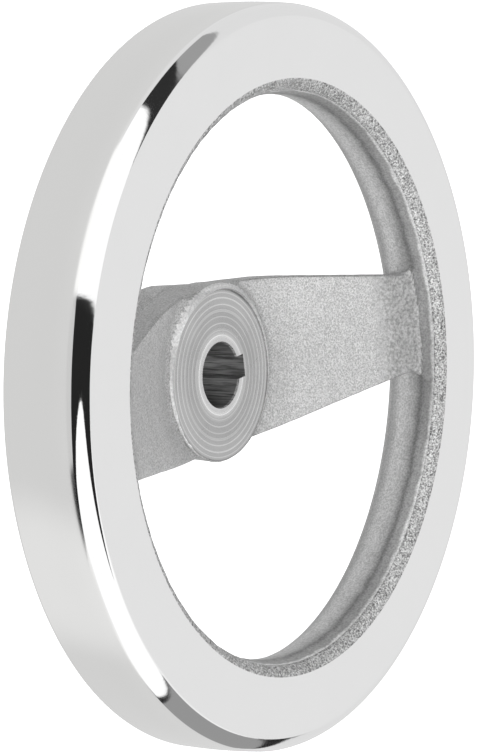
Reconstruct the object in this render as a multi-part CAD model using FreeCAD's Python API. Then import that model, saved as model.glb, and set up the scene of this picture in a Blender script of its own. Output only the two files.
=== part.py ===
import FreeCAD, Part
import math
import os

# Machine handwheel: one aluminium casting with a turned rim, two dished spokes and a keyed hub.
# Sizes are in millimetres. The bore axis is Y, the turned faces look towards -Y, the spokes lie
# along X and +Z is up. The origin is on the bore axis, halfway along the hub. A depth is measured
# from the rim's turned face towards the machine, so it grows along +Y.

# Rim: turned on the face and the outside, as cast inside and behind
rim_radius = 80.0
rim_depth = 18.4
rim_front_radius = 79.4
rim_full_depth = 14.0
rim_back_round = 0.8
edge_band_width = 2.9
edge_band_depth = 2.6
edge_band_bow = 0.65
rough_band_width = 2.4
rough_band_depth = 2.0
rough_band_bow = 0.35
crest_radius = 60.3
crest_below_face = 3.2
crest_depth = 5.0
crest_round = 5.0
inside_back_depth = 17.6
inside_back_round = 11.2

# Hub, with the bore and keyway of a 14 mm shaft
hub_face_depth = 20.9
hub_length = 19.1
hub_radius = 19.5
hub_draft_degrees = 3.0
hub_back_round = 2.0
turned_face_radius = 18.8
lip_height = 0.3
lip_round = 0.8
bore_radius = 7.0
bore_chamfer = 0.3
keyway_width = 5.0
keyway_height_over_bore = 2.3
keyway_turn_degrees = 2.7

# Web: two spokes cut from one dish, narrowing from the hub towards the rim
web_depth_at_hub = 22.0
web_thickness = 6.5
web_taper_degrees = 8.8
web_waist_round = 190.0
web_waist_inset = 1.45
web_edge_round = 1.0
valley_width = 0.6
valley_round = 1.5
valley_slope_degrees = 36.0
hub_back_fillet = 2.0
rim_fillet = 3.0
overlap = 1.0

# The cast boss and web stand a little above the bore axis that the lathe was set to
hub_rise = 0.6
web_rise = 1.3

face_inner_radius = crest_radius + crest_below_face
hub_back_depth = hub_face_depth + hub_length
origin_depth = hub_face_depth + hub_length / 2
bore_axis = FreeCAD.Vector(0, 1, 0)
spoke_axis = FreeCAD.Vector(1, 0, 0)


def section_point(radius, depth):
    """Point of a half section, drawn in the YZ plane and turned round the Y axis."""
    return FreeCAD.Vector(0, depth - origin_depth, radius)


def corner_arc(before, corner, after, radius):
    """Tangent arc of the given radius between the lines that meet at a corner."""
    to_before = (before - corner).normalize()
    to_after = (after - corner).normalize()
    half_angle = to_before.getAngle(to_after) / 2
    reach = radius / math.tan(half_angle)
    inward = (to_before + to_after).normalize()
    middle = corner + inward * (radius / math.sin(half_angle) - radius)
    return Part.Arc(corner + to_before * reach, middle, corner + to_after * reach).toShape()


def bowed_edge(start, end, bow):
    """Edge of a section between two points; its middle stands out of the material by bow."""
    if bow == 0:
        return Part.LineSegment(start, end).toShape()
    outward = spoke_axis.cross(end - start).normalize()
    return Part.Arc(start, (start + end) * 0.5 + outward * bow, end).toShape()


def outline(stations):
    """Closed face through stations: (point, corner radius, bow of the edge that follows)."""
    arcs = []
    for index, (point, radius, bow) in enumerate(stations):
        before = stations[index - 1][0]
        after = stations[(index + 1) % len(stations)][0]
        arcs.append(corner_arc(before, point, after, radius) if radius else None)
    edges = []
    for index, (point, radius, bow) in enumerate(stations):
        following = (index + 1) % len(stations)
        start = point
        end = stations[following][0]
        if arcs[index]:
            edges.append(arcs[index])
            start = arcs[index].lastVertex().Point
        if arcs[following]:
            end = arcs[following].firstVertex().Point
        edges.append(bowed_edge(start, end, bow))
    return Part.Face(Part.Wire(Part.__sortEdges__(edges)))


def revolve(stations):
    """Solid of revolution about the bore axis."""
    return outline(stations).revolve(FreeCAD.Vector(), bore_axis, 360)


def hub_side_radius(depth):
    """Radius of the hub's drafted side at a depth."""
    return hub_radius - (depth - hub_face_depth) * math.tan(math.radians(hub_draft_degrees))


def web_front_depth(radius):
    """Depth of the dish's front surface: a cone from the hub to the crest of the rim."""
    slope = (web_depth_at_hub - crest_depth) / (crest_radius - hub_radius)
    return crest_depth + slope * (crest_radius - radius)


def make_rim():
    """Turned face and outside with a bowed band along each edge, and a round cast grip behind."""
    tangent_bow = (rim_radius - rim_front_radius) / 4
    return revolve([
        (section_point(face_inner_radius, 0), 0, 0),
        (section_point(rim_front_radius - edge_band_width, 0), 0, edge_band_bow),
        (section_point(rim_front_radius, edge_band_depth), 0, tangent_bow),
        (section_point(rim_radius, rim_full_depth), 0, 0),
        (section_point(rim_radius, rim_depth), rim_back_round, 0),
        (section_point(crest_radius, inside_back_depth), inside_back_round, 0),
        (section_point(crest_radius, crest_depth), crest_round, 0),
        (section_point(face_inner_radius - rough_band_width, rough_band_depth), 0, rough_band_bow),
    ])


def make_hub():
    """Cast boss with a rounded lip in front, a drafted side and a rounded back edge."""
    lip_depth = hub_face_depth - lip_height
    return revolve([
        (section_point(0, lip_depth), 0, 0),
        (section_point(hub_side_radius(lip_depth), lip_depth), lip_round, 0),
        (section_point(hub_side_radius(hub_back_depth), hub_back_depth), hub_back_round, 0),
        (section_point(0, hub_back_depth), 0, 0),
    ])


def make_dish():
    """Full turned dish that the spokes are cut from, with its valley and fillet at the hub."""
    valley_radius = hub_radius + valley_width
    valley_depth = web_front_depth(valley_radius)
    slope_rise = valley_radius / 2 * math.tan(math.radians(valley_slope_degrees))
    in_hub = hub_side_radius(hub_back_depth)
    in_rim = face_inner_radius + overlap
    back_at_hub = web_front_depth(in_hub) + web_thickness
    fillet_end = back_at_hub + 2 * hub_back_fillet
    return revolve([
        (section_point(0, valley_depth - slope_rise), 0, 0),
        (section_point(valley_radius / 2, valley_depth - slope_rise), 0, 0),
        (section_point(valley_radius, valley_depth), valley_round, 0),
        (section_point(in_rim, web_front_depth(in_rim)), 0, 0),
        (section_point(in_rim, web_front_depth(in_rim) + web_thickness), 0, 0),
        (section_point(in_hub, back_at_hub), hub_back_fillet, 0),
        (section_point(in_hub, fillet_end), 0, 0),
        (section_point(0, fillet_end), 0, 0),
    ])


def make_spoke_plan():
    """Outline of both spokes from the front: straight sides, joined by an arc along the hub."""
    taper = math.radians(web_taper_degrees)
    waist = hub_radius - web_waist_inset + web_waist_round * (1 / math.cos(taper) - 1)
    reach = face_inner_radius + 2 * overlap
    tip = waist - reach * math.tan(taper)
    corners = ((0, waist, web_waist_round), (reach, tip, 0), (reach, -tip, 0),
               (0, -waist, web_waist_round), (-reach, -tip, 0), (-reach, tip, 0))
    return outline([
        (FreeCAD.Vector(along, -origin_depth, across), radius, 0)
        for along, across, radius in corners
    ])


def middle_of(edge):
    """Point halfway along an edge."""
    return edge.valueAt((edge.FirstParameter + edge.LastParameter) / 2)


def axis_distance(point):
    """Distance of a point from the bore axis."""
    return math.hypot(point.x, point.z)


def spoke_edges(web):
    """Long edges of the spokes, where their straight sides meet the dish, outside the hub."""
    deepest = web_front_depth(hub_side_radius(hub_back_depth)) + web_thickness - origin_depth
    found = []
    for edge in web.Edges:
        point = middle_of(edge)
        faces = web.ancestorsOfType(edge, Part.Face)
        sides = [face for face in faces if abs(face.normalAt(*face.Surface.parameter(point)).y) < 1e-6]
        if len(sides) == 1 and axis_distance(point) < crest_radius and point.y < deepest:
            found.append(edge)
    return found


def spoke_root_edges(casting):
    """Closed loops of edges where the two spokes run into the rim's inside."""
    found = []
    for edge in casting.Edges:
        point = middle_of(edge)
        on_wall = crest_radius - overlap < axis_distance(point) < face_inner_radius - overlap
        if on_wall and abs(point.z) < hub_radius:
            found.append(edge)
    return found


def make_web():
    """Both spokes as one solid through the hub, with rounded long edges."""
    sides = make_spoke_plan().extrude(bore_axis * (hub_back_depth + overlap))
    web = make_dish().common(sides).Solids[0]
    return web.makeFillet(web_edge_round, spoke_edges(web))


def make_facing():
    """What the lathe takes off the hub's front, inside the lip that stays as cast."""
    return Part.makeCylinder(turned_face_radius, hub_face_depth, section_point(0, 0), bore_axis)


def make_bore():
    """Bore with a small chamfer at both faces of the hub."""
    flare = bore_radius + bore_chamfer + overlap
    return revolve([
        (section_point(0, hub_face_depth - overlap), 0, 0),
        (section_point(flare, hub_face_depth - overlap), 0, 0),
        (section_point(bore_radius, hub_face_depth + bore_chamfer), 0, 0),
        (section_point(bore_radius, hub_back_depth - bore_chamfer), 0, 0),
        (section_point(flare, hub_back_depth + overlap), 0, 0),
        (section_point(0, hub_back_depth + overlap), 0, 0),
    ])


def make_keyway():
    """Slot for a parallel key, through the whole hub, near the line of the +X spoke."""
    floor = bore_radius + keyway_height_over_bore
    start = FreeCAD.Vector(0, hub_face_depth - origin_depth - overlap, -keyway_width / 2)
    slot = Part.makeBox(floor, hub_length + 2 * overlap, keyway_width, start)
    return slot.rotate(FreeCAD.Vector(), bore_axis, -keyway_turn_degrees)


def make_handwheel():
    """The casting with its fillets, then the turned hub face, the bore and the keyway."""
    hub = make_hub().translate(FreeCAD.Vector(0, 0, hub_rise))
    web = make_web().translate(FreeCAD.Vector(0, 0, web_rise))
    casting = make_rim().fuse([hub, web])
    casting = casting.makeFillet(rim_fillet, spoke_root_edges(casting))
    return casting.cut([make_facing(), make_bore(), make_keyway()]).Solids[0]


def main():
    os.makedirs("parts", exist_ok=True)
    make_handwheel().exportStep("parts/handwheel.step")


if __name__ == "__main__":
    main()
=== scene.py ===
"""Looks of a machine handwheel: an aluminium casting with a rim, two spokes and a keyed hub.

The wheel is modelled as it is made: rim, boss and web are cast in one piece, then the hub's face,
the bore and the keyway are cut. Sizes are in millimetres. A depth is measured from the rim's
turned face towards the machine, along +Y, and a radius from the bore axis.
"""

import logging
import math
from dataclasses import dataclass
from enum import Enum
from typing import Callable

import bmesh
import bpy
from mathutils import Matrix, Vector, noise


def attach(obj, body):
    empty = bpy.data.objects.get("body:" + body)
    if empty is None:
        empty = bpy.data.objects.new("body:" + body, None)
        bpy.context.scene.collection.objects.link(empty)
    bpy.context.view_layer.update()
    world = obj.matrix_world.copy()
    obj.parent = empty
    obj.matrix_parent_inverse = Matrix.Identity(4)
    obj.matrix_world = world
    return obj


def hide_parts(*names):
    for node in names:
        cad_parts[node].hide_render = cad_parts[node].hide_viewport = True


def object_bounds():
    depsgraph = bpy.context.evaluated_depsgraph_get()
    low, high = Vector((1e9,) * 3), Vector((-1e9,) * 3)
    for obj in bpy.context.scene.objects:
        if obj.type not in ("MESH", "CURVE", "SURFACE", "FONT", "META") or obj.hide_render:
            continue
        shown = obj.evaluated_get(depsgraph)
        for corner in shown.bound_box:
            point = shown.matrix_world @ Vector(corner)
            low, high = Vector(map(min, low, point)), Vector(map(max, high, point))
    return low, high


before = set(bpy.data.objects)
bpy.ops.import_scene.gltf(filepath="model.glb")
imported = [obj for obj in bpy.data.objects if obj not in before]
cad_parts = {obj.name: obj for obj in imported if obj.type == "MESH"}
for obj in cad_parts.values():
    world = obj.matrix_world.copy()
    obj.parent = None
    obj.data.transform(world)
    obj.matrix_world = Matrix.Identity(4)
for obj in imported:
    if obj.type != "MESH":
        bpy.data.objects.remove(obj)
cad_low, cad_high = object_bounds()

Triple = tuple[float, float, float]
Stops = tuple[tuple[float, float], ...]
Mesh = bmesh.types.BMesh
Socket = bpy.types.NodeSocket

MM = 0.001
NODE = "handwheel"
BORE_AXIS = Vector((0, 1, 0))
FULL_TURN = 2 * math.pi
MERGE_DISTANCE = 1e-7

# Largest radius and depth that the tones of a finish are given for
WIDEST = 90.0
DEEPEST = 45.0
EVEN_BY_RADIUS: Stops = ((0.0, 1.0), (WIDEST, 1.0))
EVEN_BY_DEPTH: Stops = ((0.0, 1.0), (DEEPEST, 1.0))

log = logging.getLogger("handwheel")


class Finish(Enum):
    """The wheel's surfaces, in the order of its material slots."""

    CAST = 0
    RIM_FACE = 1
    RIM_BAND = 2
    RIM_OUTSIDE = 3
    ROUGH_EDGE = 4
    HUB_FACE = 5
    BORE = 6
    LIP = 7
    INSIDE = 8
    # Painted shade on the web's upward-facing sides
    EDGE = 9


@dataclass(frozen=True)
class Station:
    """A corner of a turned section.

    Args:
        radius: distance from the axis.
        depth: distance behind the rim's turned face.
        corner: radius that rounds the corner.
        bow: how far the middle of the stretch that follows stands out.
        step: longest piece of that stretch where it is bowed.
    """

    radius: float
    depth: float
    corner: float = 0.0
    bow: float = 0.0
    step: float = 0.5

    def point(self) -> Vector:
        """Place of the corner in the section's plane."""
        return Vector((self.radius, self.depth))


@dataclass(frozen=True)
class Section:
    """Closed half section of a turned form.

    Args:
        stations: its corners, in order.
        spacing: longest piece of a straight stretch.
        arc_step: longest piece of a rounded corner.
        hold: distance from a corner to the points that keep its shading crisp.
        fewest: least number of pieces in a rounded corner.
    """

    stations: list[Station]
    spacing: float = 4.0
    arc_step: float = 0.3
    hold: float = 0.06
    fewest: int = 3

    def rounded(self, index: int) -> list[Vector]:
        """Points that take the place of one station.

        Args:
            index: the station's place in the list.

        Returns:
            The station's own point, or the points of its rounding arc.
        """
        station = self.stations[index]
        corner = station.point()
        if station.corner == 0:
            return [corner]
        after = self.stations[(index + 1) % len(self.stations)]
        to_before = (self.stations[index - 1].point() - corner).normalized()
        to_after = (after.point() - corner).normalized()
        half_angle = to_before.angle(to_after) / 2
        reach = station.corner / math.tan(half_angle)
        inward = (to_before + to_after).normalized()
        middle = corner + inward * station.corner / math.sin(half_angle)
        start = corner + to_before * reach - middle
        turn = start.angle_signed(corner + to_after * reach - middle)
        pieces = max(self.fewest, math.ceil(abs(turn) * station.corner / self.arc_step))
        turns = (Matrix.Rotation(-turn * step / pieces, 2) for step in range(pieces + 1))
        return [middle + part @ start for part in turns]

    def stretch(self, start: Vector, end: Vector, station: Station) -> list[Vector]:
        """Points strictly between two ends of a stretch.

        Args:
            start: end of the corner before.
            end: start of the corner after.
            station: the station that the stretch follows.

        Returns:
            The points: evenly spaced along a parabola where the stretch is bowed, and otherwise
            along a line, with one more close to each end.
        """
        along = end - start
        length = along.length
        out = Vector((along.y, -along.x)).normalized() * station.bow
        count = math.ceil(length / (station.step if station.bow else self.spacing))
        shares = [step / count for step in range(1, count)]
        if not station.bow and length > 4 * self.hold:
            shares = [self.hold / length, *shares, 1 - self.hold / length]
        return [start + along * share + out * 4 * share * (1 - share) for share in shares]

    def points(self) -> list[Vector]:
        """Works out the whole section.

        Returns:
            All its points, in order.
        """
        corners = [self.rounded(index) for index in range(len(self.stations))]
        found = []
        for index, corner in enumerate(corners):
            following = corners[(index + 1) % len(corners)]
            found += corner + self.stretch(corner[-1], following[0], self.stations[index])
        return found


def clamped(value: float, top: float = 1.0) -> float:
    """Value kept between zero and a top."""
    return min(max(value, 0.0), top)


def smooth_bend(value: float, width: float) -> float:
    """Positive part of a value, with a smooth bend at zero.

    Args:
        value: the value.
        width: half the width of the bend.

    Returns:
        Zero well below zero, the value itself well above it.
    """
    if value <= -width:
        return 0.0
    if value >= width:
        return value
    return (value + width) ** 2 / (4 * width)


def flare(value: float, width: float, height: float) -> float:
    """Quarter ellipse that starts flat at zero and ends upright at its width.

    Args:
        value: distance from the start.
        width: distance at which the flare is upright.
        height: how far it has risen there.

    Returns:
        The rise at that distance.
    """
    share = clamped(value / width)
    return height * (1 - math.sqrt(1 - share * share))


def as_object(name: str, shape: Mesh) -> bpy.types.Object:
    """Makes an object of a mesh that is being edited.

    Args:
        name: the object's name.
        shape: the mesh, which is freed.

    Returns:
        The object, linked to the scene.
    """
    mesh = bpy.data.meshes.new(name)
    shape.to_mesh(mesh)
    shape.free()
    made = bpy.data.objects.new(name, mesh)
    bpy.context.scene.collection.objects.link(made)
    return made


@dataclass(frozen=True)
class Lathe:
    """Turns sections into closed meshes.

    Args:
        origin_depth: depth of the part's origin.
    """

    origin_depth: float

    def place(self, radius: float, depth: float) -> Vector:
        """Point of a section, straight above the axis, in metres."""
        return Vector((0, depth - self.origin_depth, radius)) * MM

    def turn(self, section: Section, steps: int, rise: float = 0.0) -> Mesh:
        """Spins a section about the bore axis.

        Args:
            section: the closed half section.
            steps: number of facets round the axis.
            rise: how far the turned form stands above the bore axis.

        Returns:
            The closed mesh.
        """
        mesh = bmesh.new()
        ring = [mesh.verts.new(self.place(*point)) for point in section.points()]
        edges = [mesh.edges.new((start, end)) for start, end in zip(ring, ring[1:] + ring[:1])]
        bmesh.ops.spin(mesh, geom=ring + edges, cent=(0, 0, 0), axis=BORE_AXIS,
                       angle=FULL_TURN, steps=steps, use_merge=True)
        bmesh.ops.remove_doubles(mesh, verts=mesh.verts, dist=MERGE_DISTANCE)
        bmesh.ops.dissolve_degenerate(mesh, edges=mesh.edges, dist=MERGE_DISTANCE)
        bmesh.ops.recalc_face_normals(mesh, faces=mesh.faces)
        bmesh.ops.translate(mesh, verts=mesh.verts, vec=Vector((0, 0, rise * MM)))
        return mesh


@dataclass(frozen=True)
class Lumps:
    """Small unevenness of a surface that stays as it was cast.

    Args:
        height: how far the surface wanders.
        scale: size of the lumps.
        fine_scale: size of the finer lumps, as a share of that.
        fine_share: share of the height that the finer lumps have.
    """

    height: float
    scale: float
    fine_scale: float = 0.4
    fine_share: float = 0.3

    def apply(self, mesh: Mesh, weight: Callable[[Vector], float]) -> Mesh:
        """Moves the vertices along their normals.

        Args:
            mesh: the mesh to change.
            weight: share of the height for a place in metres.

        Returns:
            The same mesh.
        """
        mesh.normal_update()
        coarse_size = self.scale * MM
        fine_size = self.scale * self.fine_scale * MM
        for vertex in mesh.verts:
            share = weight(vertex.co)
            if share > 0:
                wander = noise.noise(vertex.co / coarse_size) * (1 - self.fine_share)
                wander += noise.noise(vertex.co / fine_size) * self.fine_share
                vertex.co += vertex.normal * wander * share * self.height * MM
        return mesh


@dataclass(frozen=True)
class Rim:
    """Rim: turned on its face and outside, as cast inside and behind."""

    lathe: Lathe
    radius: float = 80.0
    front_radius: float = 79.4
    full_depth: float = 14.0
    depth: float = 18.4
    back_round: float = 0.8
    band_width: float = 2.9
    band_depth: float = 2.6
    band_bow: float = 0.65
    face_inner_radius: float = 63.5
    rough_width: float = 2.4
    rough_depth: float = 2.0
    rough_bow: float = 0.35
    crest_radius: float = 60.3
    crest_depth: float = 5.0
    crest_round: float = 5.0
    grip_depth: float = 17.6
    grip_round: float = 11.2
    # Fineness of the mesh
    steps: int = 576
    arc_step: float = 0.8
    band_step: float = 0.33
    outside_step: float = 1.5
    # Unevenness: it starts inside the turned face, and weakens behind the crest
    lumps: Lumps = Lumps(height=0.16, scale=2.6)
    lumps_start: float = 0.1
    lumps_rise: float = 1.5
    lumps_fall: float = 4.0
    lumps_loss: float = 0.6

    def section(self) -> Section:
        """Draws the half section, from the face outwards and back along the inside.

        Returns:
            The section.
        """
        tangent_bow = (self.radius - self.front_radius) / 4
        rough_radius = self.face_inner_radius - self.rough_width
        return Section([
            Station(self.face_inner_radius, 0),
            Station(self.front_radius - self.band_width, 0,
                    bow=self.band_bow, step=self.band_step),
            Station(self.front_radius, self.band_depth, bow=tangent_bow, step=self.outside_step),
            Station(self.radius, self.full_depth),
            Station(self.radius, self.depth, corner=self.back_round),
            Station(self.crest_radius, self.grip_depth, corner=self.grip_round),
            Station(self.crest_radius, self.crest_depth, corner=self.crest_round),
            Station(rough_radius, self.rough_depth, bow=self.rough_bow),
        ], arc_step=self.arc_step)

    def wall_radius(self, depth: float) -> float:
        """Radius of the inside wall at a depth, in front of which the opening lies."""
        behind = clamped(depth - (self.grip_depth - self.grip_round), self.grip_round)
        return self.crest_radius + self.grip_round - math.sqrt(self.grip_round**2 - behind**2)

    def cast_share(self, place: Vector) -> float:
        """How much of the casting's unevenness a place on the rim has.

        Args:
            place: the place, in metres.

        Returns:
            The share, from 0 to 1.
        """
        radius = math.hypot(place.x, place.z) / MM
        depth = place.y / MM + self.lathe.origin_depth
        start = self.face_inner_radius - self.lumps_start
        behind = clamped((depth - self.crest_depth) / self.lumps_fall)
        return clamped((start - radius) / self.lumps_rise) * (1 - self.lumps_loss * behind)

    def build(self) -> Mesh:
        """Turned mesh of the rim, uneven on its cast inside."""
        return self.lumps.apply(self.lathe.turn(self.section(), self.steps), self.cast_share)


@dataclass(frozen=True)
class Boss:
    """Hub as cast, before its face is turned and it is bored."""

    lathe: Lathe
    radius: float = 19.5
    face_depth: float = 20.9
    length: float = 19.1
    draft: float = math.radians(3.0)
    lip_height: float = 0.3
    lip_round: float = 0.8
    back_round: float = 2.0
    rise: float = 0.6
    # Fineness of the mesh
    steps: int = 288
    spacing: float = 1.2
    arc_step: float = 0.12
    # Unevenness, with burrs at the lower left of the lip and none on the flat back
    lumps: Lumps = Lumps(height=0.05, scale=2.2)
    burr_depth: float = 0.5
    burr_drop: float = 4.0
    burr_share: float = 6.0
    back_margin: float = 0.05

    def back_depth(self) -> float:
        """Depth of the flat back."""
        return self.face_depth + self.length

    def side_radius(self, depth: float) -> float:
        """Radius of the drafted side at a depth."""
        return self.radius - (depth - self.face_depth) * math.tan(self.draft)

    def section(self) -> Section:
        """Draws the half section, from the axis along the front, the side and the back.

        Returns:
            The section.
        """
        front = self.face_depth - self.lip_height
        back = self.back_depth()
        return Section([
            Station(0, front),
            Station(self.side_radius(front), front, corner=self.lip_round),
            Station(self.side_radius(back), back, corner=self.back_round),
            Station(0, back),
        ], self.spacing, self.arc_step)

    def side_share(self, place: Vector) -> float:
        """How much of the casting's unevenness a place on the boss has.

        Args:
            place: the place, in metres.

        Returns:
            The share, which is far above 1 where the lip has burrs.
        """
        depth = place.y / MM + self.lathe.origin_depth
        if depth > self.back_depth() - self.back_margin:
            return 0.0
        at_lower_left = place.x < 0 and place.z < -self.burr_drop * MM
        on_lip = depth < self.face_depth + self.burr_depth
        return self.burr_share if on_lip and at_lower_left else 1.0

    def build(self) -> Mesh:
        """Turned mesh of the boss, uneven where it stays as cast."""
        turned = self.lathe.turn(self.section(), self.steps, self.rise)
        return self.lumps.apply(turned, self.side_share)


@dataclass(frozen=True)
class Web:
    """Both spokes: a dished plate that narrows from the boss to the rim."""

    lathe: Lathe
    rim: Rim
    boss: Boss
    depth_at_boss: float = 22.0
    thickness: float = 6.5
    taper: float = math.radians(8.8)
    waist_round: float = 190.0
    waist_inset: float = 1.45
    edge_round: float = 1.0
    rise: float = 1.3
    # Valley in front of the boss, from which the dish climbs into it
    valley_offset: float = 0.6
    valley_slope: float = math.radians(36.0)
    valley_bend: float = 0.8
    highest_climb: float = 4.0
    # Fillets at the boss and the rim; the front one's width and height are shares of its radius
    boss_fillet: float = 2.0
    rim_fillet: float = 3.0
    front_width: float = 0.72
    front_height: float = 0.9
    in_wall: float = 0.5
    # Parabola in which the back bends into the rim, from a little inside the crest
    root_inset: float = 1.1
    root_reach: float = 3.8
    root_bend: float = 0.187
    # Fineness of the mesh, whose columns stand closer together towards the rim
    columns: int = 240
    rows: int = 44
    edge_rows: int = 5
    crowding: float = 1.5
    tip_inset: float = 0.6
    lumps: Lumps = Lumps(height=0.09, scale=4.0)

    def slope(self) -> float:
        """How much the dish comes forward for each millimetre outwards."""
        fall = self.depth_at_boss - self.rim.crest_depth
        return fall / (self.rim.crest_radius - self.boss.radius)

    def half_width(self, along: float) -> float:
        """Half the width of the web beside the bore, with its round waist.

        Args:
            along: distance from the bore axis along the spokes.

        Returns:
            The distance from the middle line to the edge.
        """
        waist = self.boss.radius - self.waist_inset
        tangent = self.waist_round * math.sin(self.taper)
        if abs(along) < tangent:
            return waist - self.waist_round + math.sqrt(self.waist_round**2 - along**2)
        crossing = waist + self.waist_round * (1 / math.cos(self.taper) - 1)
        return crossing - abs(along) * math.tan(self.taper)

    def cone_depth(self, radius: float) -> float:
        """Depth of the dish's plain front at a radius."""
        return self.rim.crest_depth + self.slope() * (self.rim.crest_radius - radius)

    def front_depth(self, radius: float) -> float:
        """Depth of the front, with its valley at the boss and its fillet at the rim.

        Args:
            radius: distance from the web's axis.

        Returns:
            The depth.
        """
        valley = self.boss.radius + self.valley_offset - radius
        steepness = math.tan(self.valley_slope) + self.slope()
        climb = min(steepness * smooth_bend(valley, self.valley_bend), self.highest_climb)
        upright = self.rim.wall_radius(0) + self.in_wall
        width = self.rim_fillet * self.front_width
        fillet = flare(radius - upright + width, width, width * self.front_height)
        return self.cone_depth(radius) - climb - fillet

    def back_depth(self, radius: float) -> float:
        """Depth of the back, with its fillet at the boss and its bend into the rim.

        Args:
            radius: distance from the web's axis.

        Returns:
            The depth.
        """
        depth = self.cone_depth(radius) + self.thickness
        beside = self.boss.side_radius(depth)
        depth += flare(beside + self.boss_fillet - radius, self.boss_fillet, self.boss_fillet)
        outwards = clamped(radius - (self.rim.crest_radius - self.root_inset), self.root_reach)
        return depth + self.root_bend * outwards**2

    def edge_distance(self, row: float, half_width: float) -> float:
        """Distance from the edge of the web to a row of its mesh.

        Args:
            row: number of the row, from the edge.
            half_width: half the web's width there.

        Returns:
            The distance; the first rows are close together, to form the round edge.
        """
        if row <= self.edge_rows:
            return self.edge_round * (1 - math.cos(row / self.edge_rows * math.pi / 2))
        inner = (row - self.edge_rows) / (self.rows / 2 - self.edge_rows)
        return self.edge_round + (half_width - self.edge_round) * inner

    def shape(self, across: float, along: float, is_back: bool) -> Vector:
        """Place of a point of the plate.

        Args:
            across: from -1 at the lower edge to 1 at the upper one.
            along: from -1 at the left tip to 1 at the right one.
            is_back: whether the point lies on the back.

        Returns:
            Its place in metres.
        """
        reach = self.rim.face_inner_radius - self.tip_inset
        x = math.copysign(1 - (1 - abs(along)) ** self.crowding, along) * reach
        depth = self.back_depth(abs(x)) if is_back else self.front_depth(abs(x))
        half = self.half_width(x)
        wall = self.rim.wall_radius(depth)
        at_wall = math.sqrt(wall**2 - (half + self.rise * math.copysign(1, across)) ** 2)
        half += flare(abs(x) - at_wall + self.rim_fillet, self.rim_fillet, self.rim_fillet)
        edge = self.edge_distance((1 - abs(across)) * self.rows / 2, half)
        z = math.copysign(half - edge, across)
        radius = math.hypot(x, z)
        rounding = max(self.edge_round - edge, 0.0)
        drop = self.edge_round - math.sqrt(self.edge_round**2 - rounding**2)
        depth = self.back_depth(radius) - drop if is_back else self.front_depth(radius) + drop
        return Vector((x, depth - self.lathe.origin_depth, z + self.rise)) * MM

    def build(self) -> Mesh:
        """Thickens a flat grid and bends it to the web's shape.

        Returns:
            The closed mesh.
        """
        mesh = bmesh.new()
        bmesh.ops.create_grid(mesh, x_segments=self.columns, y_segments=self.rows, size=1)
        grown = bmesh.ops.extrude_face_region(mesh, geom=mesh.faces[:])["geom"]
        back = {item for item in grown if isinstance(item, bmesh.types.BMVert)}
        for vertex in mesh.verts:
            vertex.co = self.shape(vertex.co.y, vertex.co.x, vertex in back)
        bmesh.ops.recalc_face_normals(mesh, faces=mesh.faces)
        return self.lumps.apply(mesh, lambda place: 1.0)


@dataclass(frozen=True)
class Machining:
    """What is cut from the casting: the hub's face, the bore and the keyway."""

    lathe: Lathe
    boss: Boss
    face_radius: float = 18.8
    bore_radius: float = 7.0
    bore_chamfer: float = 0.3
    keyway_width: float = 5.0
    keyway_height: float = 2.3
    keyway_turn: float = math.radians(2.7)
    # Shallow rings of the cutter's feed on the hub's face
    ring_pitch: float = 1.37
    first_ring: float = 7.3
    ring_height: float = 0.03
    ring_step: float = 0.23
    # The cutting solids: how far they reach out of the boss, and their facets
    facing_length: float = 6.0
    overlap: float = 1.0
    steps: int = 288

    def facing(self) -> Mesh:
        """Makes the solid that leaves the turned hub face with its rings.

        Returns:
            The closed mesh.
        """
        depth = self.boss.face_depth
        front = depth - self.facing_length
        stations = [Station(0, front), Station(0, depth)]
        radius = self.first_ring
        while radius < self.face_radius - self.ring_pitch:
            stations.append(Station(radius, depth, bow=-self.ring_height, step=self.ring_step))
            radius += self.ring_pitch
        stations += [Station(self.face_radius, depth), Station(self.face_radius, front)]
        return self.lathe.turn(Section(stations), self.steps)

    def bore(self) -> Mesh:
        """Makes the solid of the bore, flared to a chamfer at both faces of the hub.

        Returns:
            The closed mesh.
        """
        flared = self.bore_radius + self.bore_chamfer + self.overlap
        end = [(0, self.overlap), (flared, self.overlap), (self.bore_radius, -self.bore_chamfer)]
        front = [Station(radius, self.boss.face_depth - beyond) for radius, beyond in end]
        back = [Station(radius, self.boss.back_depth() + beyond) for radius, beyond in end]
        return self.lathe.turn(Section(front + back[::-1]), self.steps // 2)

    def keyway(self) -> Mesh:
        """Makes the box of the keyway, on the side of the right spoke.

        Returns:
            The closed mesh.
        """
        floor = self.bore_radius + self.keyway_height
        length = self.boss.length + 2 * self.overlap
        mesh = bmesh.new()
        bmesh.ops.create_cube(mesh, size=MM)
        bmesh.ops.scale(mesh, verts=mesh.verts, vec=(floor, length, self.keyway_width))
        middle = self.boss.face_depth + self.boss.length / 2 - self.lathe.origin_depth
        bmesh.ops.translate(mesh, verts=mesh.verts, vec=Vector((floor / 2, middle, 0)) * MM)
        turn = Matrix.Rotation(-self.keyway_turn, 3, BORE_AXIS)
        bmesh.ops.rotate(mesh, verts=mesh.verts, cent=(0, 0, 0), matrix=turn)
        return mesh


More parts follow.
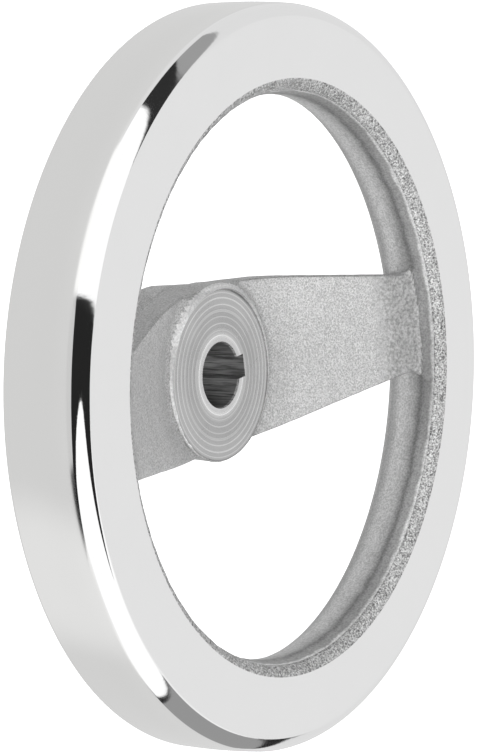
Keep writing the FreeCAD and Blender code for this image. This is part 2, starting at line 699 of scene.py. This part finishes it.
class Wiring:
    """Adds nodes to a node tree and joins their sockets."""

    def __init__(self, tree: bpy.types.NodeTree) -> None:
        """Takes the tree that is wired."""
        self.tree = tree

    def link(self, source: Socket, target: Socket) -> None:
        """Joins an output to an input."""
        self.tree.links.new(source, target)

    def node(self, kind: str, inputs: dict | None = None, **settings: object) -> bpy.types.Node:
        """Adds a node.

        Args:
            kind: the node's type.
            inputs: values or output sockets, by the input's name or number.
            settings: attributes of the node.

        Returns:
            The node.
        """
        made = self.tree.nodes.new(kind)
        for name, value in settings.items():
            setattr(made, name, value)
        for key, value in (inputs or {}).items():
            if isinstance(value, Socket):
                self.link(value, made.inputs[key])
            else:
                made.inputs[key].default_value = value
        return made

    def group(self, tree: bpy.types.NodeTree, **inputs: object) -> bpy.types.NodeOutputs:
        """Outputs of a node group that is given these values or sockets."""
        return self.node("ShaderNodeGroup", inputs, node_tree=tree).outputs

    def place(self) -> Socket:
        """Coordinates of the piece that is shaded, in metres."""
        return self.node("ShaderNodeTexCoord").outputs["Object"]

    def maths(self, operation: str, *values: object) -> Socket:
        """Output of a maths node with these values or sockets."""
        return self.node("ShaderNodeMath", dict(enumerate(values)), operation=operation).outputs[0]

    def plus(self, value: Socket, other: Socket, share: float | Socket) -> Socket:
        """A value, and a share of another one added to it."""
        return self.maths("ADD", value, self.maths("MULTIPLY", other, share))

    def noise(self, where: Socket, scale: float, detail: float = 2.0) -> Socket:
        """Noise of a given size.

        Args:
            where: the coordinates, in metres.
            scale: size of the grain in millimetres.
            detail: number of finer layers.

        Returns:
            The noise, about 0 to 1.
        """
        inputs = {"Vector": where, "Scale": 1 / (scale * MM), "Detail": detail}
        return self.node("ShaderNodeTexNoise", inputs).outputs["Fac"]

    def ramp(self, value: Socket, low: float, high: float,
             first: float = 0.0, second: float = 1.0) -> Socket:
        """Value carried from one range to another, smoothly.

        Args:
            value: the value.
            low: where the first result is reached.
            high: where the second result is reached.
            first: the first result.
            second: the second result.

        Returns:
            The new value.
        """
        return self.node("ShaderNodeMapRange", {
            "Value": value, "From Min": low, "From Max": high, "To Min": first, "To Max": second,
        }, interpolation_type="SMOOTHSTEP").outputs["Result"]

    def shade(self, value: Socket, dark: Socket | Triple, light: Socket | Triple) -> Socket:
        """Mixes two colours.

        Args:
            value: share of the light colour.
            dark: the colour at 0.
            light: the colour at 1.

        Returns:
            The colour between them.
        """
        ends = [end if isinstance(end, Socket) else (*end, 1) for end in (dark, light)]
        mixed = self.node("ShaderNodeMix", {0: value, 6: ends[0], 7: ends[1]}, data_type="RGBA")
        return mixed.outputs[2]

    def times(self, first: Socket, second: Socket) -> Socket:
        """Product of two colours."""
        return self.node("ShaderNodeMix", {0: 1.0, 6: first, 7: second},
                         data_type="RGBA", blend_type="MULTIPLY").outputs[2]

    def curve(self, value: Socket, stops: Stops, reach: float) -> Socket:
        """Tone that changes along a value, straight from stop to stop.

        Args:
            value: the value, from 0 to the reach.
            stops: pairs of a value and its tone.
            reach: the largest value that the stops may hold.

        Returns:
            The tone as a grey colour.
        """
        made = self.node("ShaderNodeValToRGB", {"Fac": self.maths("DIVIDE", value, reach)})
        elements = made.color_ramp.elements
        while len(elements) < len(stops):
            elements.new(0.5)
        for element, (position, tone) in zip(elements, stops):
            element.position = position / reach
            element.color = (*grey(tone), 1)
        return made.outputs["Color"]

    def bump(self, height: Socket, distance: float) -> Socket:
        """Makes a height show.

        Args:
            height: the height, about 0 to 1.
            distance: real height of 1, in millimetres.

        Returns:
            The normal.
        """
        inputs = {"Height": height, "Distance": distance * MM, "Strength": 1.0}
        return self.node("ShaderNodeBump", inputs).outputs["Normal"]


def grey(tone: float) -> Triple:
    """Neutral colour of a tone."""
    return (tone, tone, tone)


def either_side(value: float, share: float) -> tuple[float, float]:
    """Two numbers that lie a share below and above a value."""
    return value * (1 - share), value * (1 + share)


def make_group(name: str, inputs: dict[str, float],
               outputs: list[str]) -> tuple[Wiring, bpy.types.NodeOutputs]:
    """Starts a shader node group whose first input is a place.

    Args:
        name: the group's name.
        inputs: its number inputs and their usual values.
        outputs: its number outputs.

    Returns:
        The group's wiring, and what the group is given.
    """
    tree = bpy.data.node_groups.new(name, "ShaderNodeTree")
    tree.interface.new_socket("Place", in_out="INPUT", socket_type="NodeSocketVector")
    for label, value in inputs.items():
        socket = tree.interface.new_socket(label, in_out="INPUT", socket_type="NodeSocketFloat")
        socket.default_value = value
    for label in outputs:
        tree.interface.new_socket(label, in_out="OUTPUT", socket_type="NodeSocketFloat")
    wiring = Wiring(tree)
    return wiring, wiring.node("NodeGroupInput").outputs


# Noise seldom leaves these ranges
NOISE_RANGE = (0.3, 0.7)
SPECKLE_RANGE = (0.32, 0.68)


def make_grain_group() -> bpy.types.NodeTree:
    """Makes the group for the fine grain of a blasted casting.

    Returns:
        The group, with a height and a speckle between 0 and 1.
    """
    wiring, given = make_group("cast_grain", {"Size": 0.5}, ["Height", "Speckle"])
    place = given["Place"]
    scale = wiring.maths("DIVIDE", 1 / MM, given["Size"])
    coarse_scale = wiring.maths("MULTIPLY", scale, 0.16)
    pit_scale = wiring.maths("MULTIPLY", scale, 0.8)
    fine = wiring.node("ShaderNodeTexNoise", {
        "Vector": place, "Scale": scale, "Detail": 3.0, "Roughness": 0.65}).outputs["Fac"]
    coarse = wiring.node("ShaderNodeTexNoise", {
        "Vector": place, "Scale": coarse_scale, "Detail": 2.0}).outputs["Fac"]
    pits = wiring.node("ShaderNodeTexVoronoi", {
        "Vector": place, "Scale": pit_scale}).outputs["Distance"]
    height = wiring.plus(wiring.maths("MULTIPLY", fine, 0.7), pits, share=0.5)
    speckle = wiring.plus(wiring.maths("MULTIPLY", fine, 0.9), coarse, share=0.1)
    wiring.node("NodeGroupOutput", {
        "Height": height, "Speckle": wiring.ramp(speckle, *SPECKLE_RANGE)})
    return wiring.tree


def make_place_group() -> bpy.types.NodeTree:
    """Makes the group for a place on the wheel.

    Returns:
        The group, with a radius and a depth in millimetres that wander slowly.
    """
    wiring, given = make_group("wheel_place", {"Wander": 0.0, "Origin": 0.0}, ["Radius", "Depth"])
    parts = wiring.node("ShaderNodeSeparateXYZ", {0: given["Place"]}).outputs
    flat = wiring.node("ShaderNodeCombineXYZ", {0: parts[0], 2: parts[2]}).outputs[0]
    length = wiring.node("ShaderNodeVectorMath", {0: flat}, operation="LENGTH").outputs["Value"]
    centred = wiring.maths("SUBTRACT", wiring.noise(given["Place"], 5.0, 3.0), 0.5)
    behind = wiring.maths("ADD", wiring.maths("DIVIDE", parts[1], MM), given["Origin"])
    wiring.node("NodeGroupOutput", {
        "Radius": wiring.plus(wiring.maths("DIVIDE", length, MM), centred, given["Wander"]),
        "Depth": wiring.plus(behind, centred, given["Wander"])})
    return wiring.tree


def make_ring_group() -> bpy.types.NodeTree:
    """Makes the group for the rings that a lathe leaves.

    Returns:
        The group, with a height that repeats along the radius, each ring a little different.
    """
    wiring, given = make_group(
        "turned_rings", {"Radius": 0.0, "Pitch": 0.3, "Waver": 0.05}, ["Height"])
    wavering = wiring.plus(given["Radius"], wiring.noise(given["Place"], 9.0), given["Waver"])
    turns = wiring.maths("DIVIDE", wavering, given["Pitch"])
    wave = wiring.maths("SINE", wiring.maths("MULTIPLY", turns, FULL_TURN))
    uneven = wiring.node("ShaderNodeTexNoise", {
        "W": wiring.maths("MULTIPLY", turns, 0.37), "Scale": 1.0, "Detail": 3.0,
    }, noise_dimensions="1D").outputs["Fac"]
    wiring.node("NodeGroupOutput", {"Height": wiring.plus(uneven, wave, share=0.5)})
    return wiring.tree


def make_streak_group() -> bpy.types.NodeTree:
    """Makes the group for the streaks that a reamer leaves along the bore axis.

    Returns:
        The group, with a streak between 0 and 1.
    """
    wiring, given = make_group("axial_streaks", {"Width": 0.3}, ["Streak"])
    drawn_out = wiring.node("ShaderNodeVectorMath", {
        0: given["Place"], 1: (1, 0.05, 1)}, operation="MULTIPLY").outputs[0]
    scale = wiring.maths("DIVIDE", 1 / MM, given["Width"])
    streak = wiring.node("ShaderNodeTexNoise", {
        "Vector": drawn_out, "Scale": scale, "Detail": 3.0, "Roughness": 0.6}).outputs["Fac"]
    wiring.node("NodeGroupOutput", {"Streak": wiring.ramp(streak, *NOISE_RANGE)})
    return wiring.tree


class Groups:
    """Node groups that several finishes share."""

    def __init__(self, origin_depth: float) -> None:
        """Builds the groups once.

        Args:
            origin_depth: depth of the part's origin, which places the casting's tones.
        """
        self.origin_depth = origin_depth
        self.grain = make_grain_group()
        self.rings = make_ring_group()
        self.place = make_place_group()
        self.streaks = make_streak_group()


@dataclass(frozen=True, kw_only=True)
class Metal:
    """Finish of the metal.

    Args:
        name: the material's name.
        dark: colour of its low or dark marks.
        light: colour of its high or light marks.
        roughness: how far reflections spread.
        metallic: share of the light that is mirrored as metal mirrors it.
    """

    name: str
    dark: Triple
    light: Triple
    roughness: float
    metallic: float = 1.0

    def surface(self, wiring: Wiring, groups: Groups) -> dict[str, Socket]:
        """What feeds the shader, by the name of its input."""
        raise NotImplementedError

    def material(self, groups: Groups) -> bpy.types.Material:
        """Builds the material.

        Args:
            groups: the shared node groups.

        Returns:
            The material.
        """
        made = bpy.data.materials.new(self.name)
        made.use_nodes = True
        shader = made.node_tree.nodes["Principled BSDF"]
        shader.inputs["Metallic"].default_value = self.metallic
        wiring = Wiring(made.node_tree)
        for name, source in self.surface(wiring, groups).items():
            wiring.link(source, shader.inputs[name])
        return made


@dataclass(frozen=True, kw_only=True)
class TurnedMetal(Metal):
    """Finish of a surface that was turned on a lathe, and perhaps polished after.

    Args:
        pitch: distance between rings, in millimetres.
        ring_height: height of the rings, in millimetres.
        line: ring heights at which the light colour starts and is full.
        fine: strength of the fine rings between the wide ones.
        fine_pitch: their distance, as a share of the pitch.
        by_radius: pairs of a radius and the share of the colour that is left there.
        ripple: height of the polish's slow waves, in millimetres.
        ripple_size: size of those waves, in millimetres.
        smudge: share by which the roughness changes from place to place.
        smudge_size: size of those changes, in millimetres.
    """

    pitch: float
    ring_height: float = 0.0
    line: tuple[float, float] = (0.0, 1.0)
    fine: float = 0.0
    fine_pitch: float = 0.37
    by_radius: Stops = EVEN_BY_RADIUS
    ripple: float = 0.0
    ripple_size: float = 2.0
    smudge: float = 0.2
    smudge_size: float = 9.0

    def surface(self, wiring: Wiring, groups: Groups) -> dict[str, Socket]:
        """Works out the rings, the smudges and the waves.

        Args:
            wiring: the material's wiring.
            groups: the shared node groups.

        Returns:
            What feeds the shader, by the name of its input.
        """
        place = wiring.place()
        radius = wiring.group(groups.place, Place=place)["Radius"]
        wide, fine = (
            wiring.group(groups.rings, Place=place, Radius=radius, Pitch=pitch)["Height"]
            for pitch in (self.pitch, self.pitch * self.fine_pitch))
        height = wiring.plus(wide, fine, self.fine)
        colour = wiring.shade(wiring.ramp(height, *self.line), self.dark, self.light)
        smudges = wiring.noise(place, self.smudge_size)
        waves = wiring.maths("MULTIPLY", wiring.noise(place, self.ripple_size, 3.0), self.ripple)
        return {
            "Base Color": wiring.times(colour, wiring.curve(radius, self.by_radius, WIDEST)),
            "Roughness": wiring.ramp(
                smudges, *NOISE_RANGE, *either_side(self.roughness, self.smudge)),
            "Normal": wiring.bump(wiring.plus(waves, height, self.ring_height), 1.0),
        }


@dataclass(frozen=True, kw_only=True)
class CastMetal(Metal):
    """Finish of a surface that stays as it was cast and blasted.

    Args:
        grain: size of the grain, in millimetres.
        grain_height: height of the grain, in millimetres.
        coarse: size of the coarse grain, as a multiple of the fine one's.
        coarse_from: radius from which coarse grains take the place of the fine ones.
        coarse_over: width over which they do, in millimetres.
        by_radius: pairs of a radius and the share of the colour that is left there.
        by_depth: pairs of a depth and the share of the colour that is left there.
        wander: how far the borders between these tones wander, in millimetres.
        polish: share by which the high grains are smoother.
    """

    grain: float
    grain_height: float
    coarse: float = 1.9
    coarse_from: float = WIDEST
    coarse_over: float = 5.0
    by_radius: Stops = EVEN_BY_RADIUS
    by_depth: Stops = EVEN_BY_DEPTH
    wander: float = 0.0
    polish: float = 0.1

    def surface(self, wiring: Wiring, groups: Groups) -> dict[str, Socket]:
        """Works out the grain and the tones.

        Args:
            wiring: the material's wiring.
            groups: the shared node groups.

        Returns:
            What feeds the shader, by the name of its input.
        """
        place = wiring.place()
        where = wiring.group(
            groups.place, Place=place, Wander=self.wander, Origin=groups.origin_depth)
        fine = wiring.group(groups.grain, Place=place, Size=self.grain)
        coarse = wiring.group(groups.grain, Place=place, Size=self.grain * self.coarse)
        among = wiring.ramp(where["Radius"], self.coarse_from, self.coarse_from + self.coarse_over)
        speckle = wiring.node("ShaderNodeMix", {
            0: among, 2: fine["Speckle"], 3: coarse["Speckle"]}, data_type="FLOAT").outputs[0]
        tone = wiring.times(wiring.curve(where["Radius"], self.by_radius, WIDEST),
                            wiring.curve(where["Depth"], self.by_depth, DEEPEST))
        return {
            "Base Color": wiring.times(wiring.shade(speckle, self.dark, self.light), tone),
            "Roughness": wiring.ramp(speckle, 0, 1, *either_side(self.roughness, -self.polish)),
            "Normal": wiring.bump(fine["Height"], self.grain_height),
        }


@dataclass(frozen=True, kw_only=True)
class ReamedMetal(Metal):
    """Finish of the bore and the keyway, streaked along the axis.

    Args:
        width: width of a streak, in millimetres.
        streak_height: height of a streak, in millimetres.
        polish: share by which the light streaks are smoother.
    """

    width: float
    streak_height: float = 0.01
    polish: float = 0.2

    def surface(self, wiring: Wiring, groups: Groups) -> dict[str, Socket]:
        """Works out the streaks.

        Args:
            wiring: the material's wiring.
            groups: the shared node groups.

        Returns:
            What feeds the shader, by the name of its input.
        """
        streak = wiring.group(groups.streaks, Place=wiring.place(), Width=self.width)["Streak"]
        return {
            "Base Color": wiring.shade(streak, self.dark, self.light),
            "Roughness": wiring.ramp(streak, 0, 1, *either_side(self.roughness, -self.polish)),
            "Normal": wiring.bump(streak, self.streak_height),
        }


FINISHES: dict[Finish, Metal] = {
    # Painted shade: by_radius darkens the blasted casting next to the boss and towards the rim,
    # where shade falls in the fillets and corners.
    Finish.CAST: CastMetal(
        name="blasted_casting", dark=grey(0.44), light=grey(0.98), roughness=0.42, metallic=0.3,
        grain=0.36, grain_height=0.045, coarse_from=48.0, wander=4.0,
        by_radius=((0, 0.66), (19, 0.74), (22, 0.84), (29, 1), (48, 1), (51, 0.86), (54, 0.68),
                   (62, 0.62), (90, 0.66))),
    Finish.RIM_FACE: TurnedMetal(
        name="turned_rim_face", dark=grey(0.87), light=grey(0.89), roughness=0.12, pitch=0.25),
    Finish.RIM_BAND: TurnedMetal(
        name="polished_band", dark=grey(0.88), light=grey(0.9), roughness=0.05, pitch=0.3,
        ripple=0.006),
    Finish.RIM_OUTSIDE: TurnedMetal(
        name="turned_outside", dark=(0.87, 0.868, 0.86), light=(0.89, 0.888, 0.88),
        roughness=0.12, pitch=0.9),
    Finish.ROUGH_EDGE: CastMetal(
        name="rough_edge", dark=grey(0.1), light=grey(1), roughness=0.4, metallic=0.3,
        grain=0.42, grain_height=0.2,
        by_depth=((0, 1), (1.5, 1), (1.9, 0.75), (45, 0.75))),
    # Painted shadow: the hub face's outermost ring, beyond a radius of 18.3, is darkened for the
    # shadow at the step below the lip.
    Finish.HUB_FACE: TurnedMetal(
        name="turned_hub_face", dark=grey(0.7), light=grey(1), roughness=0.24, pitch=1.37,
        ring_height=0.012, line=(0.75, 1.35), fine=0.4,
        by_radius=((0, 1), (8.8, 1), (9.8, 0.68), (14, 0.68), (15, 0.74), (18, 0.74),
                   (18.3, 0.5), (19, 0.5))),
    # Painted shade: the bore and the keyway are coloured far darker than the other machined metal,
    # for the shade inside the hole.
    Finish.BORE: ReamedMetal(
        name="reamed_bore", dark=grey(0.08), light=grey(0.36), roughness=0.35, metallic=0.5,
        width=0.35),
    # Painted highlight: the lip is coloured lighter than the casting, for the bright line along its
    # rounded edge.
    Finish.LIP: CastMetal(
        name="cast_lip_painted_highlight", dark=grey(0.66), light=grey(0.98), roughness=0.35, metallic=0.4,
        grain=0.5, grain_height=0.015),
    # Painted shade and painted reflection: by_depth gives the rim's inside wall the light and dark
    # bands that its lighting makes, darkest at the crest and darker again towards the back edge.
    Finish.INSIDE: CastMetal(
        name="cast_inside", dark=grey(0.6), light=grey(1), roughness=0.42, metallic=0.6,
        grain=0.45, grain_height=0.035, wander=1.6,
        by_depth=((0, 1), (2.3, 1), (2.8, 0.5), (4.0, 0.46), (5.0, 0.28), (6.6, 0.62),
                  (8.5, 0.76), (10.5, 0.76), (12.2, 0.58), (13.8, 0.46), (15, 0.6), (45, 0.6))),
    # Painted shade: the web's upward-facing sides are coloured darker, for the shade along the top
    # of each spoke.
    Finish.EDGE: CastMetal(
        name="painted_shade_top", dark=grey(0.3), light=grey(0.62), roughness=0.42, metallic=0.3,
        grain=0.4, grain_height=0.03),
}


@dataclass(frozen=True)
class Handwheel:
    """The whole casting, cast and then machined."""

    lathe: Lathe
    rim: Rim
    boss: Boss
    web: Web
    machining: Machining
    # Angle between faces from which their edge stays sharp
    crease: float = math.radians(32)
    # How far faces may lie off a flat surface, off the hub's front and off a rough surface
    hair: float = 0.02
    margin: float = 0.1
    slack: float = 0.2
    # Where the finishes of the lip (a painted highlight), the inside (painted shade and reflection
    # bands) and the web's top sides (painted shade) end
    lip_depth: float = 0.15
    inside_start: float = 0.4
    shaded_top_height: float = 8.0
    # Least part of a face's normal along the axis, and upwards
    flat: float = 0.8
    upright: float = 0.5

    def finish_at(self, centre: Vector, normal: Vector) -> Finish:
        """Finish of a face.

        Args:
            centre: the face's middle, in metres.
            normal: the way that it looks.

        Returns:
            The finish that the real wheel has there.
        """
        rim, boss, cut = self.rim, self.boss, self.machining
        radius = math.hypot(centre.x, centre.z) / MM
        boss_radius = math.hypot(centre.x, centre.z - boss.rise * MM) / MM
        depth = centre.y / MM + self.lathe.origin_depth
        band_radius = rim.front_radius - rim.band_width
        rough_radius = rim.face_inner_radius - rim.rough_width - self.slack
        in_keyway = radius < cut.bore_radius + cut.keyway_height + self.slack
        on_front = abs(depth - boss.face_depth) < self.margin and normal.y < -self.flat
        on_back = depth > boss.back_depth() - self.hair and normal.y > self.flat
        on_boss = cut.face_radius - self.margin < radius and boss_radius < boss.radius + self.margin
        on_web = boss.radius < radius < rim.crest_radius - self.web.rim_fillet
        looks_up = centre.z / MM > self.shaded_top_height and normal.z > self.upright
        rules = (
            (Finish.RIM_FACE, radius > rim.face_inner_radius and depth < self.hair),
            (Finish.RIM_BAND, radius > band_radius and depth < rim.band_depth),
            (Finish.RIM_OUTSIDE, radius > rim.radius - rim.back_round and depth < rim.depth),
            (Finish.ROUGH_EDGE, radius > rough_radius and depth < rim.rough_depth),
            (Finish.HUB_FACE, on_back or on_front and radius < cut.face_radius),
            (Finish.BORE, in_keyway),
            (Finish.LIP, on_boss and depth < boss.face_depth + self.lip_depth),
            (Finish.INSIDE, radius > rim.crest_radius - self.inside_start and depth < rim.depth),
            (Finish.EDGE, on_web and looks_up),
        )
        return next((finish for finish, holds in rules if holds), Finish.CAST)

    def combine(self, casting: bpy.types.Object, other: Mesh, operation: str) -> None:
        """Joins a form to the casting, or cuts it out.

        Args:
            casting: the object to change.
            other: the form, which is used up.
            operation: UNION or DIFFERENCE.
        """
        tool = as_object("tool", other)
        modifier = casting.modifiers.new(operation.lower(), "BOOLEAN")
        modifier.operation = operation
        modifier.solver = "EXACT"
        modifier.object = tool
        graph = bpy.context.evaluated_depsgraph_get()
        result = bpy.data.meshes.new_from_object(casting.evaluated_get(graph))
        casting.modifiers.remove(modifier)
        casting.data = result
        bpy.data.objects.remove(tool)

    def dress(self, casting: bpy.types.Object) -> None:
        """Gives every face its finish and smooth shading.

        Args:
            casting: the object to dress.
        """
        groups = Groups(self.lathe.origin_depth)
        mesh = casting.data
        mesh.materials.clear()
        for finish in Finish:
            mesh.materials.append(FINISHES[finish].material(groups))
        for face in mesh.polygons:
            face.material_index = self.finish_at(face.center, face.normal).value
        mesh.shade_smooth()
        mesh.set_sharp_from_angle(angle=self.crease)

    def build(self) -> bpy.types.Object:
        """Builds the wheel in place of the plain one.

        Returns:
            The finished piece.
        """
        casting = as_object("handwheel_casting", self.rim.build())
        for build in (self.boss.build, self.web.build):
            self.combine(casting, build(), "UNION")
        for build in (self.machining.facing, self.machining.bore, self.machining.keyway):
            self.combine(casting, build(), "DIFFERENCE")
        self.dress(casting)
        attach(casting, "root")
        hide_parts(NODE)
        return casting


@dataclass(frozen=True)
class Card:
    """Round light or dark card round the wheel, as the polished metal mirrors it.

    Args:
        side: degrees to the right of the way that the turned faces look.
        height: degrees above the bore axis.
        radius: degrees from its middle to its edge.
        tone: its brightness.
        blur: degrees over which its edge fades, to each side.
    """

    side: float
    height: float
    radius: float
    tone: float
    blur: float = 0.6

    def towards(self) -> Vector:
        """Works out where the card stands.

        Returns:
            Direction of its middle from the wheel.
        """
        side, height = math.radians(self.side), math.radians(self.height)
        level = math.cos(height)
        return Vector((math.sin(side) * level, -math.cos(side) * level, math.sin(height)))

    def edge(self) -> tuple[float, float]:
        """Cosines of the angles at which the card starts and is full."""
        start, full = self.radius + self.blur, self.radius - self.blur
        return math.cos(math.radians(start)), math.cos(math.radians(full))


# Each card covers the ones before it
CARDS = [
    Card(142.9, 53.2, 126.5, 0.02),
    Card(128.5, 76.3, 102.5, 0.02),
    Card(50, -36, 26.7, 1.15, 0.8),
    Card(90, 67, 80.8, 1.15),
    Card(90, 35, 54.7, 0.03, 1.0),
    Card(86, 28, 42.9, 0.36, 0.8),
    Card(99, 8, 50.1, 0.8, 0.8),
    Card(150, 55, 30, 0.8, 1.0),
    Card(91, -46, 44.8, 0.02),
    Card(89, -46, 42.5, 0.33),
    Card(93, -17, 36, 0.02),
    Card(99, -12, 40, 0.8),
    Card(47, -20, 9, 0.95, 1.0),
    Card(-114, 8, 23, 0.66, 1.5),
    Card(57, -10.5, 11.5, 0.86, 1.0),
    Card(180, 0, 69, 0.72, 1.5),
    Card(-138, -42, 18, 0.86, 9.0),
]


@dataclass(frozen=True)
class Studio:
    """Camera, floor, surroundings and lamp. Places and sides are in metres, the power in watts."""

    # The lens and the sensor's height are in millimetres, the aspect is width over height
    camera_place: Triple = (-0.4690, -0.3266, 0.1043)
    camera_right: Triple = (0.53996, -0.83789, -0.07990)
    camera_up: Triple = (0.19610, 0.03293, 0.98004)
    lens: float = 127.03
    sensor: float = 36.0
    aspect: float = 480 / 752
    clip_start: float = 0.01
    floor_half: float = 6.0
    floor_tone: float = 0.9
    floor_roughness: float = 0.9
    # Brightness that the metal mirrors where no card stands, and that all other light has
    open_tone: float = 1.15
    fill: float = 0.5
    lamp_place: Triple = (-0.9, -0.46, -0.1)
    lamp_side: float = 0.5
    lamp_power: float = 14.0

    def add_camera(self) -> None:
        """Adds the camera where the photograph was taken from."""
        data = bpy.data.cameras.new("camera")
        data.sensor_fit = "VERTICAL"
        data.sensor_height = self.sensor
        data.sensor_width = self.sensor * self.aspect
        data.lens = self.lens
        data.clip_start = self.clip_start
        made = bpy.data.objects.new("camera", data)
        bpy.context.scene.collection.objects.link(made)
        right = Vector(self.camera_right).normalized()
        up = Vector(self.camera_up).normalized()
        turn = Matrix((right, up, right.cross(up))).transposed()
        made.matrix_world = Matrix.Translation(self.camera_place) @ turn.to_4x4()
        bpy.context.scene.camera = made

    def add_floor(self) -> None:
        """Adds a plain pale floor under the wheel, white to the camera."""
        shape = bmesh.new()
        bmesh.ops.create_grid(shape, x_segments=1, y_segments=1, size=self.floor_half)
        bmesh.ops.translate(shape, verts=shape.verts, vec=(0, 0, cad_low.z))
        floor = as_object("floor", shape)
        made = bpy.data.materials.new("floor")
        made.use_nodes = True
        wiring = Wiring(made.node_tree)
        shader = made.node_tree.nodes["Principled BSDF"]
        shader.inputs["Base Color"].default_value = (*grey(self.floor_tone), 1)
        shader.inputs["Roughness"].default_value = self.floor_roughness
        shader.inputs["Emission Color"].default_value = (1, 1, 1, 1)
        rays = wiring.node("ShaderNodeLightPath").outputs
        wiring.link(rays["Is Camera Ray"], shader.inputs["Emission Strength"])
        floor.data.materials.append(made)
        floor.visible_glossy = False

    def add_world(self) -> None:
        """Adds surroundings: white for the camera, and the cards where the metal mirrors them."""
        world = bpy.data.worlds.new("studio")
        bpy.context.scene.world = world
        world.use_nodes = True
        wiring = Wiring(world.node_tree)
        background = world.node_tree.nodes["Background"]
        rays = wiring.node("ShaderNodeLightPath").outputs
        direction = wiring.node("ShaderNodeTexCoord").outputs["Generated"]
        tone = grey(self.open_tone)
        for card in CARDS:
            nearness = wiring.node("ShaderNodeVectorMath", {
                0: direction, 1: card.towards()}, operation="DOT_PRODUCT").outputs["Value"]
            tone = wiring.shade(wiring.ramp(nearness, *card.edge()), tone, grey(card.tone))
        tone = wiring.shade(rays["Is Glossy Ray"], grey(self.fill), tone)
        tone = wiring.shade(rays["Is Camera Ray"], tone, grey(1.0))
        wiring.link(tone, background.inputs["Color"])

    def add_lamp(self) -> None:
        """Adds a soft square lamp that looks at the wheel and isn't mirrored."""
        data = bpy.data.lights.new("key", "AREA")
        data.size = self.lamp_side
        data.energy = self.lamp_power
        made = bpy.data.objects.new("key", data)
        bpy.context.scene.collection.objects.link(made)
        made.visible_glossy = False
        place = Vector(self.lamp_place)
        turn = (-place).to_track_quat("-Z", "Y").to_matrix()
        made.matrix_world = Matrix.Translation(place) @ turn.to_4x4()

    def build(self) -> None:
        """Sets up the whole studio."""
        bpy.context.scene.view_settings.view_transform = "Standard"
        self.add_camera()
        self.add_world()
        self.add_floor()
        self.add_lamp()


def main() -> None:
    """Builds the studio and the wheel, and reports the wheel's number of faces."""
    logging.basicConfig(level=logging.INFO, format="%(name)s: %(message)s")
    Studio().build()
    lathe = Lathe(Boss.face_depth + Boss.length / 2)
    rim = Rim(lathe)
    boss = Boss(lathe)
    web = Web(lathe, rim, boss)
    casting = Handwheel(lathe, rim, boss, web, Machining(lathe, boss)).build()
    log.info("%s: %d faces", casting.name, len(casting.data.polygons))


if __name__ == "__main__":
    main()
